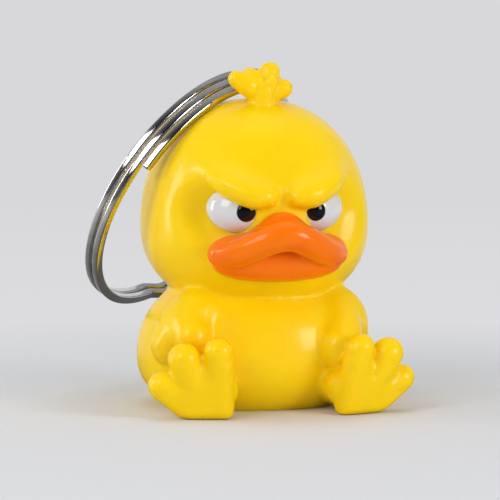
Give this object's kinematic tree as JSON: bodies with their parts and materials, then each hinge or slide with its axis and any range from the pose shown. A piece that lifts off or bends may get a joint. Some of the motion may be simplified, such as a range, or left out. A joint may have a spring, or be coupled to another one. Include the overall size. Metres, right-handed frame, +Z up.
{
  "type": "rubber duck key ring",
  "caption": "Small seated toy duck in glossy yellow vinyl with a scowling face, hung on a coiled steel split ring.",
  "frame": {"origin": "on the flat seat under the body, on the middle plane of the duck", "axes": "+Z up, -Y out of the face, +X to the duck's left"},
  "size_m": [0.0341, 0.0381, 0.0388],
  "materials": {
    "yellow_vinyl": "glossy",
    "orange_vinyl": "glossy",
    "eye_white": "glossy",
    "pupil_black": "glossy",
    "steel": "polished"
  },
  "bodies": {
    "duck": {"duck_body": "yellow_vinyl", "bill": "orange_vinyl", "eye_white_left": "eye_white", "eye_white_right": "eye_white", "pupil_left": "pupil_black", "pupil_right": "pupil_black", "screw_eye": "steel"},
    "ring": {"split_ring": "steel"}
  },
  "joints": [
    {"name": "ring_swing", "type": "hinge", "parent": "duck", "child": "ring", "pos_m": [0.0008, 0.0038, 0.0367], "axis": [0.7071, 0.7071, 0], "range_deg": [0, 120]}
  ]
}
